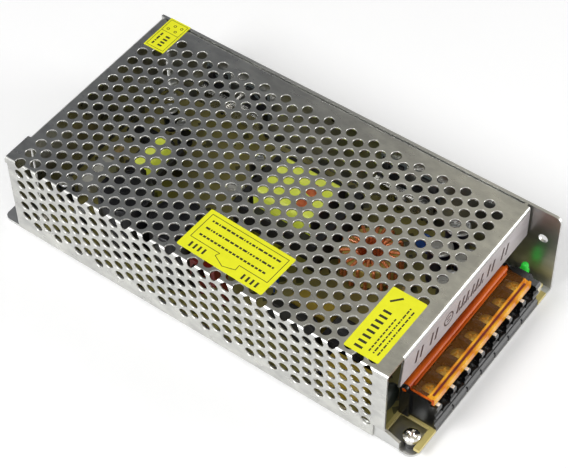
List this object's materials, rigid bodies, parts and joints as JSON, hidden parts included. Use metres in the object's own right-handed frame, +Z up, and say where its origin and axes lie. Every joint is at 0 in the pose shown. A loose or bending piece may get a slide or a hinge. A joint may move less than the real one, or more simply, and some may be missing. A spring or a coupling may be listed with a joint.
{
  "type": "mesh case switching power supply",
  "caption": "Open-frame power supply in a folded metal chassis, with a perforated cover and a screw terminal block under a hinged clear lid.",
  "frame": {"origin": "centre of the whole supply's plan, on the underside of the chassis", "axes": "+X along the length towards the terminal end, +Y towards the solid wall with the mounting holes, +Z up through the perforated top"},
  "size_m": [0.199, 0.0982, 0.0421],
  "materials": {
    "chassis": "satin mill sheet",
    "mesh_cover": "satin galvanised sheet",
    "cover_screws": "bright plated",
    "insulation_sheet": "matt film",
    "board_spacers": "moulded",
    "circuit_board": "olive resist over fibre board",
    "board_screws": "bright plated",
    "corner_screw": "bright plated",
    "terminal_housing": "fine satin black",
    "contact_strips": "tinned",
    "wire_clamps": "plated",
    "terminal_screws": "yellow passivated",
    "terminal_cover": "clear amber plastic",
    "transformer_core": "dull ferrite",
    "transformer_bobbin": "moulded",
    "transformer_winding": "glossy tape",
    "driver_core": "dull ferrite",
    "driver_bobbin": "moulded",
    "driver_winding": "glossy tape",
    "choke_core": "painted powder core",
    "choke_winding": "enamelled copper",
    "filter_core": "dull ferrite",
    "filter_coils": "enamelled copper",
    "bulk_capacitors": "sleeve with bare top",
    "output_capacitors": "sleeve with bare top",
    "small_capacitors": "sleeve with bare top",
    "suppression_capacitors": "moulded box",
    "disc_capacitors": "dipped",
    "bridge_rectifier": "moulded",
    "power_transistors": "moulded",
    "output_rectifiers": "moulded",
    "insulating_pads": "soft sheet",
    "clamp_bars": "plated",
    "clamp_screws": "bright plated",
    "fuse_tube": "clear",
    "fuse_caps": "plated",
    "thermistor": "dipped",
    "ceramic_resistor": "dull ceramic",
    "resistors": "lacquered",
    "control_chip": "moulded",
    "optocoupler": "moulded",
    "selector_body": "moulded",
    "selector_slider": "moulded",
    "trimmer_body": "moulded",
    "trimmer_rotor": "moulded",
    "power_lamp": "diffused green resin",
    "seal_label": "printed film",
    "selector_label": "printed film",
    "caution_label": "printed film",
    "terminal_label": "printed film"
  },
  "bodies": {
    "case": {"chassis": "chassis", "mesh_cover": "mesh_cover", "cover_screws": "cover_screws", "insulation_sheet": "insulation_sheet", "board_spacers": "board_spacers", "circuit_board": "circuit_board", "board_screws": "board_screws", "corner_screw": "corner_screw", "terminal_housing": "terminal_housing", "contact_strips": "contact_strips", "wire_clamps": "wire_clamps", "terminal_screws": "terminal_screws", "transformer_core": "transformer_core", "transformer_bobbin": "transformer_bobbin", "transformer_winding": "transformer_winding", "driver_core": "driver_core", "driver_bobbin": "driver_bobbin", "driver_winding": "driver_winding", "choke_core": "choke_core", "choke_winding": "choke_winding", "filter_core": "filter_core", "filter_coils": "filter_coils", "bulk_capacitors": "bulk_capacitors", "output_capacitors": "output_capacitors", "small_capacitors": "small_capacitors", "suppression_capacitors": "suppression_capacitors", "disc_capacitors": "disc_capacitors", "bridge_rectifier": "bridge_rectifier", "power_transistors": "power_transistors", "output_rectifiers": "output_rectifiers", "insulating_pads": "insulating_pads", "clamp_bars": "clamp_bars", "clamp_screws": "clamp_screws", "fuse_tube": "fuse_tube", "fuse_caps": "fuse_caps", "thermistor": "thermistor", "ceramic_resistor": "ceramic_resistor", "resistors": "resistors", "control_chip": "control_chip", "optocoupler": "optocoupler", "selector_body": "selector_body", "trimmer_body": "trimmer_body", "power_lamp": "power_lamp", "seal_label": "seal_label", "selector_label": "selector_label", "caution_label": "caution_label", "terminal_label": "terminal_label"},
    "lid": {"terminal_cover": "terminal_cover"},
    "slider": {"selector_slider": "selector_slider"},
    "rotor": {"trimmer_rotor": "trimmer_rotor"}
  },
  "joints": [
    {"name": "lid_hinge", "type": "hinge", "parent": "case", "child": "lid", "pos_m": [0.0857, 0, 0.0204], "axis": [0, -1, 0], "range_deg": [0, 70]},
    {"name": "slider_slide", "type": "slide", "parent": "case", "child": "slider", "axis": [1, 0, 0], "range_m": [0, 0.004]},
    {"name": "rotor_turn", "type": "hinge", "parent": "case", "child": "rotor", "pos_m": [0.094, 0.0392, 0.0085], "axis": [0, 0, 1], "range_deg": [-130, 130]}
  ]
}
